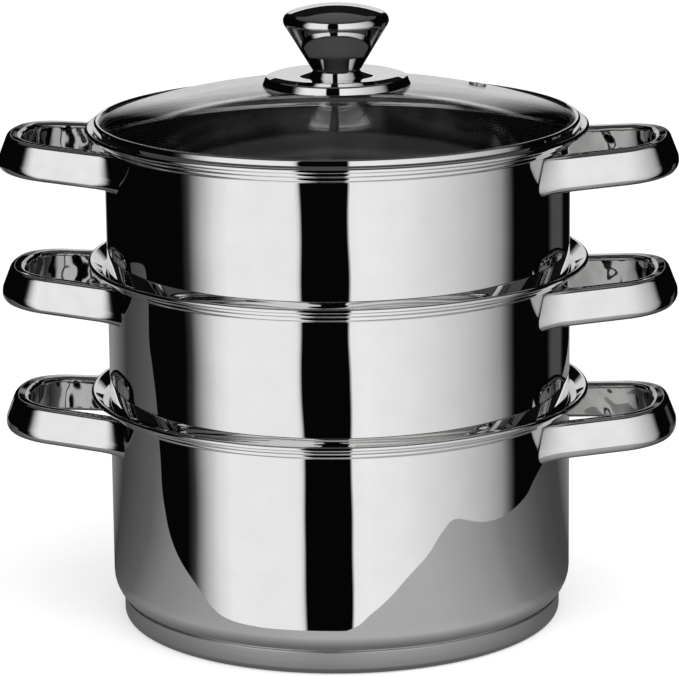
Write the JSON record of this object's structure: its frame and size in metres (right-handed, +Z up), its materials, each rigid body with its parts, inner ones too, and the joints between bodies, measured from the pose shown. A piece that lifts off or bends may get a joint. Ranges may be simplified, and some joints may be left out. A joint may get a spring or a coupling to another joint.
{
  "type": "three-tier steamer pot",
  "caption": "Tiered stovetop steamer: perforated steamer vessels stack in the rim of a solid-bottomed pot, with loop handles and a domed glass lid with a knob.",
  "frame": {"origin": "on the axis of the stacked vessels, on the flat underside of the pot's base cap", "axes": "+Z up along the vessels' axis, +X through the right-hand handles, +Y away from the viewer's side"},
  "size_m": [0.3532, 0.2606, 0.3233],
  "materials": {
    "body_steel": "mirror-polished stainless steel",
    "handle_steel": "polished cast stainless steel",
    "knob_steel": "polished spun stainless steel",
    "base_steel": "satin stainless steel with fine turned lines",
    "core_aluminium": "plain rolled aluminium",
    "lid_glass": "clear tempered glass",
    "silicone": "translucent white silicone",
    "fixing_steel": "plain turned and pressed steel"
  },
  "bodies": {
    "pot": {"pot_shell": "body_steel", "pot_base_core": "core_aluminium", "pot_base_cap": "base_steel", "pot_handle_left": "handle_steel", "pot_handle_right": "handle_steel"},
    "lower_steamer": {"lower_steamer_shell": "body_steel", "lower_steamer_handle_left": "handle_steel", "lower_steamer_handle_right": "handle_steel"},
    "upper_steamer": {"upper_steamer_shell": "body_steel", "upper_steamer_handle_left": "handle_steel", "upper_steamer_handle_right": "handle_steel"},
    "lid": {"lid_glass": "lid_glass", "lid_rim_band": "body_steel", "glass_edge_seal": "silicone", "vent_eyelet": "fixing_steel", "vent_backing_ring": "fixing_steel", "knob_skirt": "body_steel", "knob_shell": "knob_steel", "knob_boss": "fixing_steel", "knob_seal_upper": "silicone", "knob_seal_lower": "silicone", "screw_washer": "fixing_steel", "knob_screw": "fixing_steel"}
  },
  "joints": [
    {"name": "lower_steamer_lift", "type": "slide", "parent": "pot", "child": "lower_steamer", "axis": [0, 0, 1], "range_m": [0, 0.15]},
    {"name": "upper_steamer_lift", "type": "slide", "parent": "lower_steamer", "child": "upper_steamer", "axis": [0, 0, 1], "range_m": [0, 0.15]},
    {"name": "lid_lift", "type": "slide", "parent": "upper_steamer", "child": "lid", "axis": [0, 0, 1], "range_m": [0, 0.15]}
  ]
}
